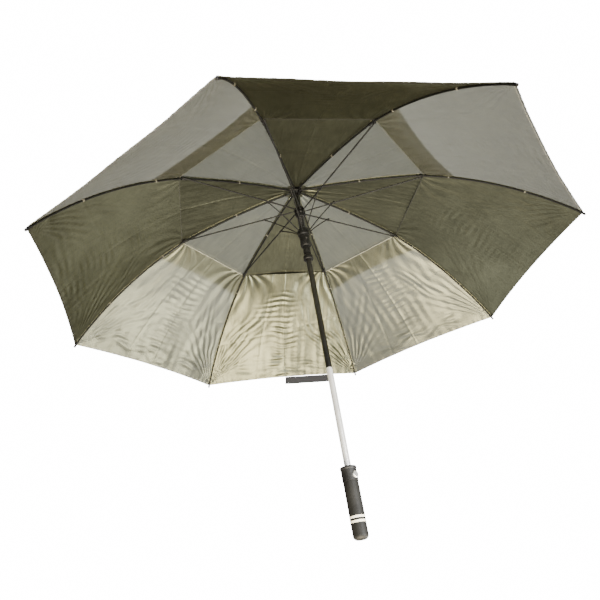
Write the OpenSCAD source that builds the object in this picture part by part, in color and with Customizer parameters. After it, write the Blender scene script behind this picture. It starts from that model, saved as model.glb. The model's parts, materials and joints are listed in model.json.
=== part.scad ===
// Double-canopy golf umbrella, open, with its handle down.
// +Z runs up the shaft, and the origin is on the shaft's axis inside the grip.
// Rib k leaves the shaft at azimuth first_azimuth + 45 * (k - 1), seen from above.

/* [Canopy] */
// Radius from the shaft's axis to a rib tip
tip_radius = 650; // [640:1:665]
// Height of the rib tips
tip_z = 510; // [505:1:515]
// Radius at which each stretcher holds its rib
joint_radius = 330; // [326:1:334]
// Height of the stretcher joints
joint_z = 745; // [742:1:748]
// How far the inner stretch of a rib bends, in degrees
inner_bend = 10; // [8:1:12]
// How far the outer stretch of a rib bends, in degrees
outer_bend = 28; // [26:1:30]
// Thickness of the canopy cloth
cloth_t = 0.8; // [0.6:0.1:1]
// How far the upper canopy reaches past the stretcher joints, as a share of the outer rib
overlap = 0.2; // [0.16:0.01:0.24]

/* [Frame] */
// Outer radius of the shaft
shaft_r = 7; // [7:0.1:7.2]
// Wall thickness of the shaft tubes
shaft_wall = 1.2; // [1:0.1:1.4]
// Height where the silver lower tube meets the black upper tube
shaft_split_z = 285; // [270:5:300]
// Height of the rib hinges on the top notch
notch_z = 808; // [806:1:810]
// Height of the stretcher pivots on the runner, with the canopy open
runner_z = 740; // [738:1:742]
// Height of the strut pivots on the push sleeve, with the canopy open
sleeve_z = 670; // [668:1:672]
// Distance along a stretcher from its runner pivot to its strut
strut_at = 82; // [80:1:84]
// Rod radius of the inner ribs
rib_r = 2; // [1.9:0.05:2]
// Rod radius of the stretchers
stretcher_r = 1.8; // [1.6:0.1:1.8]
// Rod radius of the struts
strut_r = 1.4; // [1.2:0.1:1.4]

/* [Handle] */
// Radius of the grip
grip_r = 16; // [15.9:0.1:16.4]
// Height of the top of the grip
grip_top = 30; // [28:1:32]
// Lowest point of the handle
grip_bottom = -83; // [-90:1:-80]
// Height of the collar's mouth, which the push sleeve latches into
collar_top = 60; // [60:0.5:61]
// Radius of the opening button
button_r = 7; // [6:0.1:7]

/* [Hidden] */
RIBS = 8;
function each_rib(name) = [for (k = [1:RIBS]) str(name, "_", k)];
$fn = 48;

first_azimuth = -90;
rib_step = 360 / RIBS;
slack = 0.3;             // gap between parts that pass each other
running = 0.08;          // radial clearance of a part that slides or turns on another
notch_pin_r = 12;        // radius of the rib hinges from the axis
runner_pin_r = 12;       // radius of the stretcher pivots
sleeve_pin_r = 13;       // radius of the strut pivots
pin_r = 0.8;
eye_r = 2.2;             // outer radius of a hinge eye
eye_w = 2.4;             // width of a hinge eye
slot_w = eye_w + 2 * slack;
pin_half = slot_w - 0.4; // half the length of a hinge pin on the runner or the sleeve
stretcher_y = 4.9;       // sideways place of the stretchers, beside the ribs
strut_y = 0.9;           // sideways place of the struts, between rib and stretcher
strut_bend = 10;         // bow of a strut, in degrees
strut_lane_x = 9.5;      // how far from the axis the runner makes room for the folded struts
outer_rib_r = rib_r - 0.2;
tip_cap_r = 3;
tip_cap_l = 14;
bracket_l = 16;          // length of the clip that holds the stretcher on the rib
bracket_r = rib_r + 0.8;
flex_gap = 1.2;          // gap from the stretcher joint to the start of the outer rib
seam_gap = 0.6;          // half the gap between neighbouring panels at a rib
shaft_bottom = -60;
shaft_top = 826;
notch_r = 15;
notch_h = 20;
notch_bottom = notch_z - 8;
runner_r = 14;
runner_top = runner_z + 8;
runner_bottom = runner_z - 18;
crown_r = 15.4;
crown_h = 16;
crown_top = sleeve_z + 7;
barrel_r = 13;
barrel_bottom = sleeve_z - 46;
neck_r = 9;
flange_r = 12.5;
flange_h = 13;
sleeve_bottom = sleeve_z - 87;
spring_mean_r = 8.4;
spring_wire_r = 0.7;
spring_turns = 18;
spring_bore_r = 9.5;
spring_floor = sleeve_z - 43;
collar_r = 16.6;
collar_lip_r = 17.4;
cup_r = 13.4;
cup_floor = 51;
button_z = 41;
button_azimuth = -35;    // the way the button faces
button_seat_x = 11.5;    // how far from the axis the button's pocket starts
button_face_x = 19.4;
button_travel = 2.5;
band_h = 4.5;
band_z = [-42.5, -51];   // lower edges of the two bands

// Azimuth of rib k
function azimuth(k) = first_azimuth + rib_step * (k - 1);

// An arc in a rib's plane, from point p to point q, that bends down by bend degrees on its way:
// [centre x, centre z, radius, slope at p, slope at q]
function arc(p, q, bend) =
    let (chord = norm(q - p), fall = atan2(p[1] - q[1], q[0] - p[0]), r = chord / 2 / sin(bend / 2),
         a = fall - bend / 2)
    [p[0] - r * sin(a), p[1] - r * cos(a), r, a, fall + bend / 2];

// The point at share t of an arc, moved outwards by off
function on_arc(c, t, off = 0) =
    let (a = c[3] + (c[4] - c[3]) * t)
    [c[0] + (c[2] + off) * sin(a), c[1] + (c[2] + off) * cos(a)];

rib_hinge = [notch_pin_r, notch_z];
joint = [joint_radius, joint_z];
tip = [tip_radius, tip_z];
runner_pin = [runner_pin_r, runner_z];
sleeve_pin = [sleeve_pin_r, sleeve_z];
inner_arc = arc(rib_hinge, joint, inner_bend);
outer_arc = arc(joint, tip, outer_bend);
stretcher_l = norm(joint - runner_pin);
stretcher_rise = atan2(joint_z - runner_z, joint_radius - runner_pin_r);
strut_end = runner_pin + strut_at / stretcher_l * (joint - runner_pin);
strut_arc = arc(sleeve_pin, strut_end, strut_bend);
function arc_length(c) = abs(c[2] * (c[4] - c[3])) * PI / 180;

// The rib line: s runs from 0 at the rib hinge through 1 at the stretcher joint to 2 at the tip
function rib_line(s, off) = s <= 1 ? on_arc(inner_arc, s, off) : on_arc(outer_arc, s - 1, off);

// A point of the panel between ribs k and k + 1: u runs across it from 0 to 1, and the cloth
// leaves the straight line between the ribs by bulge at mid panel
function gore(k, s, u, off, bulge) =
    let (p = rib_line(s, off), half = p[0] * sin(rib_step / 2),
         across = (2 * u - 1) * (half - seam_gap), out = p[0] * cos(rib_step / 2),
         z = p[1] + bulge * 4 * u * (1 - u), a = azimuth(k) + rib_step / 2)
    [out * cos(a) - across * sin(a), out * sin(a) + across * cos(a), z];

// A closed shell between two grids of points, each with rows of n points
module sheet(top, bottom, rows, n) {
    size = rows * n;
    skin = [for (i = [0:rows - 2], j = [0:n - 2]) let (a = i * n + j) [a, a + 1, a + n + 1, a + n]];
    under = [for (q = skin) [for (v = [3:-1:0]) q[v] + size]];
    rim = concat([for (j = [0:n - 2]) j], [for (i = [0:rows - 2]) i * n + n - 1],
                 [for (j = [n - 1:-1:1]) (rows - 1) * n + j], [for (i = [rows - 1:-1:1]) i * n]);
    wall = [for (i = [0:len(rim) - 1]) let (a = rim[i], b = rim[(i + 1) % len(rim)])
            [a, a + size, b + size, b]];
    halves = [for (q = concat(skin, under, wall)) each [[q[0], q[1], q[2]], [q[0], q[2], q[3]]]];
    polyhedron(concat(top, bottom), halves, convexity = 4);
}

// A panel of cloth with rows of points at these places on the ribs, counted as in rib_line;
// off is the height of its underside over the ribs
module panel(k, places, off, bulge, scallop) {
    rows = len(places);
    n = 7;
    function at(i, j, lift) =
        let (u = j / (n - 1), t = i / (rows - 1), s = places[i] - scallop * pow(t, 4) * 4 * u * (1 - u))
        gore(k, s, u, off + lift, bulge * t);
    sheet([for (i = [0:rows - 1], j = [0:n - 1]) at(i, j, cloth_t)],
          [for (i = [0:rows - 1], j = [0:n - 1]) at(i, j, 0)], rows, n);
}

module at_rib(k) {
    rotate([0, 0, azimuth(k)]) children();
}

// A cylinder across a rib's plane, from sideways place y0 to y1
module cross(p, r, y0, y1) {
    translate([p[0], y1, p[1]]) rotate([90, 0, 0]) cylinder(r = r, h = y1 - y0);
}

// A round rod along part of an arc, from share t0 to t1
module arc_rod(c, r, t0, t1, y = 0) {
    a0 = 90 - (c[3] + (c[4] - c[3]) * t0);
    a1 = 90 - (c[3] + (c[4] - c[3]) * t1);
    translate([c[0], y, c[1]]) rotate([90, 0, 0]) rotate([0, 0, min(a0, a1)])
        rotate_extrude(angle = abs(a0 - a1), $fn = 360) translate([c[2], 0]) circle(r = r, $fn = 24);
}

// A straight rod from p to q in a rib's plane
module rod(p, q, r, y = 0) {
    translate([p[0], y, p[1]]) rotate([0, 90 - atan2(q[1] - p[1], q[0] - p[0]), 0])
        cylinder(r = r, h = norm(q - p), $fn = 24);
}

// The slot that a hinge eye turns in, open outwards, and up or down
module slot(pin, y, low, high) {
    translate([pin[0] - eye_r - slack, y - slot_w / 2, pin[1] + low]) cube([20, slot_w, high - low]);
}

// A hinge eye's bore
module eye_bore(pin, y) {
    cross(pin, pin_r + running, y - eye_w, y + eye_w);
}

module shaft_tube(low, high) {
    translate([0, 0, low]) difference() {
        cylinder(r = shaft_r, h = high - low, $fn = 64);
        translate([0, 0, -1]) cylinder(r = shaft_r - shaft_wall, h = high - low + 2, $fn = 64);
    }
}

module upper_shaft() {
    color("#17181a") shaft_tube(shaft_split_z, shaft_top);
}

module lower_shaft() {
    color("#c4c6c8") shaft_tube(shaft_bottom, shaft_split_z);
}

// The fixed crown that the ribs hinge on, with a hinge pin in each slot
module top_notch() {
    color("#141516") {
        difference() {
            translate([0, 0, notch_bottom]) rotate_extrude() polygon([
                [shaft_r, 0], [notch_r - 4, 0], [notch_r - 2, 3], [notch_r, 5], [notch_r, notch_h - 7],
                [notch_r - 3, notch_h - 4], [notch_r - 5, notch_h], [shaft_r, notch_h]]);
            for (k = [1:RIBS]) at_rib(k) slot(rib_hinge, 0, -12, eye_r + 1);
            for (k = [1:RIBS]) at_rib(k) cross(rib_hinge, pin_r, -slot_w, slot_w);
        }
        for (k = [1:RIBS]) at_rib(k) cross(rib_hinge, pin_r, -slot_w, slot_w);
    }
}

// The spike on top, with the washer that clamps the cloth
module ferrule() {
    color("#141516") translate([0, 0, notch_bottom + notch_h + 0.4]) rotate_extrude() polygon([
        [shaft_r, 0], [20, 0], [20.6, 1], [18, 2.6], [10.5, 3.6], [9.4, 6], [9, 16], [6.4, 44],
        [6.2, 49], [5, 52], [3, 53.6], [0, 54], [0, 6], [shaft_r, 6]]);
}

// The upper runner: the stretchers hinge on it
module runner() {
    color("#141516") {
        difference() {
            translate([0, 0, runner_bottom]) rotate_extrude() polygon([
                [shaft_r + running, 0], [spring_bore_r + 1.4, 0], [spring_bore_r + 1.4, 7], [runner_r, 10],
                [runner_r, 24], [runner_r - 2, 26], [shaft_r + running, 26]]);
            for (k = [1:RIBS]) at_rib(k) slot(runner_pin, stretcher_y, -eye_r - 1.5, 12);
            for (k = [1:RIBS]) at_rib(k) translate([strut_lane_x, strut_y - slot_w / 2, runner_bottom])
                cube([10, slot_w, runner_top - runner_bottom + 1]);
            for (k = [1:RIBS]) at_rib(k)
                cross(runner_pin, pin_r, stretcher_y - pin_half, stretcher_y + pin_half);
        }
        for (k = [1:RIBS]) at_rib(k)
            cross(runner_pin, pin_r, stretcher_y - pin_half, stretcher_y + pin_half);
    }
}

// The coil that pushes runner and sleeve apart to open the canopy
module opening_spring() {
    low = spring_floor + spring_wire_r + 0.1;
    high = runner_bottom - spring_wire_r - 0.1;
    per_turn = 16;
    sides = 6;
    rings = spring_turns * per_turn + 1;
    points = [for (i = [0:rings - 1], j = [0:sides - 1])
        let (a = i * 360 / per_turn, b = j * 360 / sides, r = spring_mean_r + spring_wire_r * cos(b))
        [r * cos(a), r * sin(a), low + (high - low) * i / (rings - 1) + spring_wire_r * sin(b)]];
    walls = [for (i = [0:rings - 2], j = [0:sides - 1])
        let (a = i * sides + j, b = i * sides + (j + 1) % sides)
            each [[a, b, b + sides], [a, b + sides, a + sides]]];
    ends = [[for (j = [sides - 1:-1:0]) j], [for (j = [0:sides - 1]) (rings - 1) * sides + j]];
    color("#55585a") polyhedron(points, concat(walls, ends), convexity = 20);
}

// The lower sleeve: the hand pulls it, the struts hinge on it and its foot latches in the collar
module push_sleeve() {
    height = crown_top - sleeve_bottom;
    barrel_low = barrel_bottom - sleeve_bottom;
    crown_low = height - crown_h;
    color("#141516") {
        difference() {
            translate([0, 0, sleeve_bottom]) rotate_extrude() polygon([
                [shaft_r + running, 0], [flange_r - 1.5, 0], [flange_r, 1.5], [flange_r, flange_h - 3],
                [flange_r - 1.5, flange_h], [neck_r, flange_h + 2], [neck_r, barrel_low],
                [barrel_r - 2, barrel_low], [barrel_r, barrel_low + 2], [barrel_r, crown_low - 3],
                [crown_r, crown_low], [crown_r, height - 1.5], [crown_r - 1.5, height],
                [spring_bore_r, height], [spring_bore_r, spring_floor - sleeve_bottom],
                [shaft_r + running, spring_floor - sleeve_bottom]]);
            for (k = [1:RIBS]) at_rib(k) slot(sleeve_pin, strut_y, -eye_r - 1.5, 12);
            for (k = [1:RIBS]) at_rib(k) cross(sleeve_pin, pin_r, strut_y - pin_half, strut_y + pin_half);
        }
        for (k = [1:RIBS]) at_rib(k) cross(sleeve_pin, pin_r, strut_y - pin_half, strut_y + pin_half);
    }
}

module grip() {
    bottom_round = 9;
    wall_bottom = grip_bottom + bottom_round;
    color("#1b1b1a") difference() {
        rotate_extrude($fn = 96) difference() {
            union() {
                translate([0, wall_bottom]) square([grip_r, grip_top - wall_bottom]);
                translate([0, grip_bottom]) square([grip_r - bottom_round, bottom_round + 1]);
                translate([grip_r - bottom_round, wall_bottom]) intersection() {
                    circle(r = bottom_round, $fn = 64);
                    translate([0, -bottom_round]) square(bottom_round);
                }
            }
            for (z = band_z) translate([grip_r - 1.6, z]) square([3, band_h]);
        }
        translate([0, 0, shaft_bottom]) cylinder(r = shaft_r, h = 200, $fn = 64);
    }
}

// Two pale rings let into the grip
module grip_bands() {
    color("#e8dfc4") for (z = band_z) translate([0, 0, z]) rotate_extrude($fn = 96)
        translate([grip_r - 1.6, 0]) square([1.6, band_h]);
}

// The cup above the grip that the sleeve's foot latches into
module handle_collar() {
    color("#1d1e1f") difference() {
        translate([0, 0, grip_top]) rotate_extrude($fn = 96) polygon([
            [shaft_r, 0], [collar_r, 0], [collar_r, collar_top - grip_top - 6],
            [collar_lip_r, collar_top - grip_top - 4], [collar_lip_r, collar_top - grip_top - 1],
            [collar_lip_r - 1, collar_top - grip_top], [cup_r, collar_top - grip_top],
            [cup_r, cup_floor - grip_top], [shaft_r, cup_floor - grip_top]]);
        rotate([0, 0, button_azimuth]) translate([button_seat_x - button_travel - slack, 0, button_z])
            rotate([0, 90, 0]) cylinder(r = button_r + running, h = 20);
    }
}

// The button that frees the sleeve; it sinks towards the axis
module button() {
    color("#b9bbbd") rotate([0, 0, button_azimuth]) translate([button_seat_x, 0, button_z])
        rotate([0, 90, 0]) rotate_extrude() polygon([
            [0, 0], [button_r, 0], [button_r, button_face_x - button_seat_x - 1.2],
            [button_r - 1.2, button_face_x - button_seat_x], [0, button_face_x - button_seat_x + 0.3]]);
}

// One inner rib: hinge eye, rod and the clip that the stretcher is riveted to
module rib_inner(k) {
    neck_share = 9 / arc_length(inner_arc);
    clip_share = bracket_l / arc_length(inner_arc);
    end_share = 0.5 / arc_length(inner_arc);
    color("#101112") at_rib(k) difference() {
        union() {
            cross(rib_hinge, eye_r, -eye_w / 2, eye_w / 2);
            arc_rod(inner_arc, 1.15, 0, neck_share);
            arc_rod(inner_arc, rib_r, neck_share - end_share, 1 - end_share);
            arc_rod(inner_arc, bracket_r - 0.05, 1 - clip_share, 1 - end_share);
        }
        eye_bore(rib_hinge, 0);
    }
}

// One outer rib: the part that flexes when the canopy opens, with the cap that holds the cloth's corner
module rib_outer(k) {
    start = flex_gap / arc_length(outer_arc);
    cap = tip_cap_l / arc_length(outer_arc);
    color("#101112") at_rib(k) {
        arc_rod(outer_arc, outer_rib_r, start, 1 - cap);
        arc_rod(outer_arc, tip_cap_r - 0.6, 1 - cap, 1);
        translate([tip[0], 0, tip[1]]) sphere(r = tip_cap_r, $fn = 32);
    }
}

// One stretcher: it hinges on the runner and its far end lies against the rib's clip
module stretcher(k) {
    far = runner_pin + (stretcher_l - 1) / stretcher_l * (joint - runner_pin);
    near = runner_pin + 1.6 / stretcher_l * (joint - runner_pin);
    clip = [for (d = [-5, 5]) runner_pin + (strut_at + d) / stretcher_l * (joint - runner_pin)];
    inner_y = bracket_r + slack;
    color("#101112") at_rib(k) difference() {
        union() {
            cross(runner_pin, eye_r, stretcher_y - eye_w / 2, stretcher_y + eye_w / 2);
            rod(near, runner_pin + 9 / stretcher_l * (joint - runner_pin), 1.15, stretcher_y);
            rod(runner_pin + 8.5 / stretcher_l * (joint - runner_pin), far, stretcher_r, stretcher_y);
            rod(clip[0], clip[1], stretcher_r + 0.5, stretcher_y);
            cross(joint, 2.8, inner_y, inner_y + 3.2);
            cross(joint, 1.6, inner_y, inner_y + 4.2);
        }
        eye_bore(runner_pin, stretcher_y);
    }
}

// One strut: it hinges on the push sleeve and its far end lies against the stretcher's clip
module strut(k) {
    neck_share = 9 / arc_length(strut_arc);
    color("#101112") at_rib(k) difference() {
        union() {
            cross(sleeve_pin, eye_r, strut_y - eye_w / 2, strut_y + eye_w / 2);
            arc_rod(strut_arc, 1.1, 0, neck_share, strut_y);
            arc_rod(strut_arc, strut_r, neck_share * 0.95, 1, strut_y);
            cross(strut_end, 2.6, strut_y - 1.2, strut_y + 1.2);
        }
        eye_bore(sleeve_pin, strut_y);
    }
}

// Each canopy has eight panels, dark and pale by turns
function cloth_colour(k) = k % 2 == 1 ? "#6b6a58" : "#b9b6a6";

module upper_panel(k) {
    places = concat([0.02], [for (i = [1:6]) i / 6], [1 + overlap / 2, 1 + overlap]);
    color(cloth_colour(k)) panel(k, places, bracket_r + 2.2, 6, 0.03);
}

module lower_panel(k) {
    places = [for (i = [0:8]) 1.012 + 0.978 * i / 8];
    color(cloth_colour(k)) panel(k, places, bracket_r + 0.4, -6, 0.035);
}

// The strap that ties the furled canopy, sewn to the hem of panel 5
module closure_strap() {
    strap_w = 25;
    strap_l = 160;
    strap_shift = -86;   // towards rib 5
    hem_gap = 1;
    hem = rib_line(1.962, bracket_r + 0.4);
    slope = outer_arc[4];
    a = azimuth(5) + rib_step / 2;
    color("#1c2028") rotate([0, 0, a])
        translate([hem[0] * cos(rib_step / 2) + hem_gap, strap_shift, hem[1] - 7])
            rotate([0, slope, -2]) translate([0, -strap_l / 2, 0]) cube([strap_w, strap_l, 1.2]);
}

upper_shaft();
lower_shaft();
top_notch();
ferrule();
runner();
opening_spring();
push_sleeve();
grip();
grip_bands();
handle_collar();
button();
closure_strap();
for (k = [1:RIBS]) {
    rib_inner(k);
    rib_outer(k);
    stretcher(k);
    strut(k);
    upper_panel(k);
    lower_panel(k);
}
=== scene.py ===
"""The looks of a double-canopy golf umbrella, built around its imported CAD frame.

Metres, in the CAD's own frame: +Z runs up the shaft and the origin is inside the grip.
Rib k leaves the shaft at azimuth -90 + 45 (k - 1) degrees, and panel k lies between ribs k and k + 1.
"""
import json
import math

import bmesh
import bpy
import numpy as np
from mathutils import Matrix, Vector


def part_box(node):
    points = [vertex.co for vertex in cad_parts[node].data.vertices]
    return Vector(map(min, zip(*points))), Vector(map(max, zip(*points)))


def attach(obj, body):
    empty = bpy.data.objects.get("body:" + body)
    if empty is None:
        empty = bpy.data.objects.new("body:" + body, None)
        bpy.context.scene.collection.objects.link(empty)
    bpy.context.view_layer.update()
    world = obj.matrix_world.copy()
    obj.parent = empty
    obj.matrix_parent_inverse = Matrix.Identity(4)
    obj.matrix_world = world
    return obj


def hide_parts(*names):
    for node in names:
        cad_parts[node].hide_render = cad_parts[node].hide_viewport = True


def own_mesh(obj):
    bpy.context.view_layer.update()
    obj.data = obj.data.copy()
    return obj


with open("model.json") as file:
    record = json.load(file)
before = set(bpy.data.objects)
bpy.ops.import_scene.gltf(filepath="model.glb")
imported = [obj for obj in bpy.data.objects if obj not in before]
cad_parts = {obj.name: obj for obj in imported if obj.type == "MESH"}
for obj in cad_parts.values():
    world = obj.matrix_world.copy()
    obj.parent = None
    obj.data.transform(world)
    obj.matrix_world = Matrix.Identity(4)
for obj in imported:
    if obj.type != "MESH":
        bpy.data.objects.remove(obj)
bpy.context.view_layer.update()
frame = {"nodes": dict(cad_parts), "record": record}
JOINTS = {joint["name"]: joint for joint in frame["record"]["behaviour"]["joints"]}

MM = 0.001
RIBS = range(1, 9)
RIB_STEP = math.radians(45)
FIRST_AZIMUTH = math.radians(-90)
INNER_BEND = math.radians(10)
OUTER_BEND = math.radians(28)
TIP_CAP_R = 3.0 * MM
CLOTH_T = 0.4 * MM
HEM_T = 0.9 * MM
LOWER_LIFT = 3.6 * MM  # the lower cloth's middle layer over the rib line
UPPER_LIFT = 5.4 * MM
UPPER_END = 1.2  # places along a rib run from 0 at the notch through 1 at the joint to 2 at the tip
LOWER_START = 1.012
LOWER_END = 1.99


# ---- frame geometry


def azimuth(k):
    """Direction of rib k, seen from above."""
    return FIRST_AZIMUTH + RIB_STEP * (k - 1)


def out_from(k):
    """Unit vector from the shaft along rib k."""
    return Vector((math.cos(azimuth(k)), math.sin(azimuth(k)), 0))


def across_from(k):
    """Unit vector across rib k, towards rib k + 1."""
    return Vector((-math.sin(azimuth(k)), math.cos(azimuth(k)), 0))


def profile_point(joint):
    """A joint's place in a rib's plane: distance from the shaft, and height."""
    x, y, z = JOINTS[joint]["pos_m"]
    return math.hypot(x, y), z


def arc(p, q, bend):
    """The arc from p to q in a rib's plane that bends down by bend on its way."""
    chord = math.dist(p, q)
    fall = math.atan2(p[1] - q[1], q[0] - p[0])
    radius = chord / 2 / math.sin(bend / 2)
    start = fall - bend / 2
    return (p[0] - radius * math.sin(start), p[1] - radius * math.cos(start), radius, start, bend)


RIB_HINGE = profile_point("rib_hinge_1")
RIB_JOINT = profile_point("rib_flex_1")
TIP_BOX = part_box("rib_outer_3")
TIP = (TIP_BOX[1].x - TIP_CAP_R, TIP_BOX[0].z + TIP_CAP_R)
INNER_ARC = arc(RIB_HINGE, RIB_JOINT, INNER_BEND)
OUTER_ARC = arc(RIB_JOINT, TIP, OUTER_BEND)
OUTER_LENGTH = OUTER_ARC[2] * OUTER_BEND
INNER_LENGTH = INNER_ARC[2] * INNER_BEND


def rib_line(s, lift=0.0):
    """Distance from the shaft and height at place s along a rib, moved outwards by lift. Takes arrays."""
    s = np.asarray(s, float)
    found = []
    for centre_x, centre_z, radius, start, bend, place in (
        (*INNER_ARC, np.minimum(s, 1)),
        (*OUTER_ARC, np.maximum(s - 1, 0)),
    ):
        slope = start + bend * place
        reach = radius + lift
        found.append((centre_x + reach * np.sin(slope), centre_z + reach * np.cos(slope)))
    inner = s <= 1
    return np.where(inner, found[0][0], found[1][0]), np.where(inner, found[0][1], found[1][1])


def rib_point(k, s, lift=0.0):
    """A point of rib k's plane, in the shared frame."""
    x, z = rib_line(s, lift)
    return out_from(k) * float(x) + Vector((0, 0, float(z)))


def rib_heading(s):
    """Angle below the horizontal at which a rib runs at place s."""
    c = INNER_ARC if s <= 1 else OUTER_ARC
    return c[3] + c[4] * (s if s <= 1 else s - 1)


def rib_frame(k, s, lift=0.0):
    """Matrix at a place on rib k: X along the rib, Y across it, Z outwards."""
    down = rib_heading(s)
    along = out_from(k) * math.cos(down) - Vector((0, 0, math.sin(down)))
    across = across_from(k)
    up = along.cross(across)
    m = Matrix((along, across, up)).transposed().to_4x4()
    m.translation = rib_point(k, s, lift)
    return m


# ---- mesh helpers


def new_object(name, verts, faces, materials, material_of=None):
    """A smooth-shaded mesh object from points and faces."""
    mesh = bpy.data.meshes.new(name)
    mesh.from_pydata([tuple(v) for v in verts], [], [tuple(f) for f in faces])
    for material in materials:
        mesh.materials.append(material)
    if material_of is not None:
        mesh.polygons.foreach_set("material_index", material_of)
    mesh.polygons.foreach_set("use_smooth", [True] * len(mesh.polygons))
    mesh.update()
    made = bpy.data.objects.new(name, mesh)
    bpy.context.scene.collection.objects.link(made)
    return made


def join_parts(name, parts, material):
    """One object from several (points, faces) parts."""
    verts, faces = [], []
    for points, part_faces in parts:
        start = len(verts)
        verts += [tuple(p) for p in points]
        faces += [tuple(start + i for i in face) for face in part_faces]
    return new_object(name, verts, faces, [material])


def sharpen(obj, degrees=35):
    """Keeps edges crisp where faces meet at more than this angle."""
    mesh = obj.data
    bm = bmesh.new()
    bm.from_mesh(mesh)
    for edge in bm.edges:
        turns = len(edge.link_faces) == 2 and edge.calc_face_angle(0) > math.radians(degrees)
        edge.smooth = not turns
    bm.to_mesh(mesh)
    bm.free()
    return obj


def lathe(outline, segments, closed=False):
    """Points and faces of an outline of (radius, height) turned about Z. Ends on the axis are capped."""
    points, faces, rings = [], [], []
    for radius, height in outline:
        if radius < 1e-7:
            rings.append([len(points)] * segments)
            points.append(Vector((0, 0, height)))
            continue
        rings.append([len(points) + j for j in range(segments)])
        for j in range(segments):
            a = 2 * math.pi * j / segments
            points.append(Vector((radius * math.cos(a), radius * math.sin(a), height)))
    pairs = list(zip(rings, rings[1:]))
    if closed:
        pairs.append((rings[-1], rings[0]))
    for low, high in pairs:
        for j in range(segments):
            n = (j + 1) % segments
            face = []
            for i in (low[j], low[n], high[n], high[j]):
                if i not in face:
                    face.append(i)
            if len(face) > 2:
                faces.append(face)
    return points, faces


def tube(path, radius, sides):
    """Points and faces of a round tube along a path, with flat ends."""
    n = len(path)
    points, faces = [], []
    normal = None
    for i, p in enumerate(path):
        heading = (path[min(i + 1, n - 1)] - path[max(i - 1, 0)]).normalized()
        if normal is None:
            seed = Vector((0, 0, 1)) if abs(heading.z) < 0.9 else Vector((1, 0, 0))
            normal = heading.cross(seed).normalized()
        normal = (normal - heading * normal.dot(heading)).normalized()
        side = heading.cross(normal)
        for j in range(sides):
            a = 2 * math.pi * j / sides
            points.append(p + (normal * math.cos(a) + side * math.sin(a)) * radius)
    for i in range(n - 1):
        low, high = i * sides, (i + 1) * sides
        for j in range(sides):
            m = (j + 1) % sides
            faces.append((low + j, low + m, high + m, high + j))
    faces.append(tuple(range(sides - 1, -1, -1)))
    faces.append(tuple(range((n - 1) * sides, n * sides)))
    return points, faces


def placed(part, matrix):
    """A (points, faces) part moved by a matrix."""
    points, faces = part
    return [matrix @ Vector(p) for p in points], faces


def slab(length, width, height):
    """A box with its ends slightly narrowed, centred on the origin, for stitches and pads."""
    points = []
    for x, share in ((-0.5, 0.7), (-0.3, 1), (0.3, 1), (0.5, 0.7)):
        for y, z in ((-0.5, -0.5), (0.5, -0.5), (0.5, 0.5), (-0.5, 0.5)):
            points.append(Vector((x * length, y * width * share, z * height * share)))
    faces = [(3, 2, 1, 0), (12, 13, 14, 15)]
    for ring in range(3):
        for j in range(4):
            n = (j + 1) % 4
            low, high = ring * 4, ring * 4 + 4
            faces.append((low + j, low + n, high + n, high + j))
    return points, faces


# ---- materials


def shader(name):
    """A new material with its node tree, its main shader and a maker of nodes."""
    material = bpy.data.materials.new(name)
    material.use_nodes = True
    tree = material.node_tree
    main = tree.nodes["Principled BSDF"]

    def add(kind, **settings):
        node = tree.nodes.new(kind)
        for key, value in settings.items():
            if key in node.inputs:
                node.inputs[key].default_value = value
            else:
                setattr(node, key, value)
        return node

    return material, tree, main, add


def ramp_between(tree, add, factor, low, high, start=0.35, end=0.65):
    """A colour that runs from low to high as factor goes from start to end."""
    ramp = add("ShaderNodeValToRGB")
    ramp.color_ramp.elements[0].position = start
    ramp.color_ramp.elements[1].position = end
    ramp.color_ramp.elements[0].color = (*low, 1)
    ramp.color_ramp.elements[1].color = (*high, 1)
    tree.links.new(factor, ramp.inputs["Fac"])
    return ramp.outputs["Color"]


def add_bump(tree, add, main, height, strength, distance, after=None):
    """A bump from a height, on top of an earlier one."""
    bump = add("ShaderNodeBump")
    bump.inputs["Strength"].default_value = strength
    bump.inputs["Distance"].default_value = distance
    tree.links.new(height, bump.inputs["Height"])
    if after is not None:
        tree.links.new(after, bump.inputs["Normal"])
    tree.links.new(bump.outputs["Normal"], main.inputs["Normal"])
    return bump.outputs["Normal"]


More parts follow.
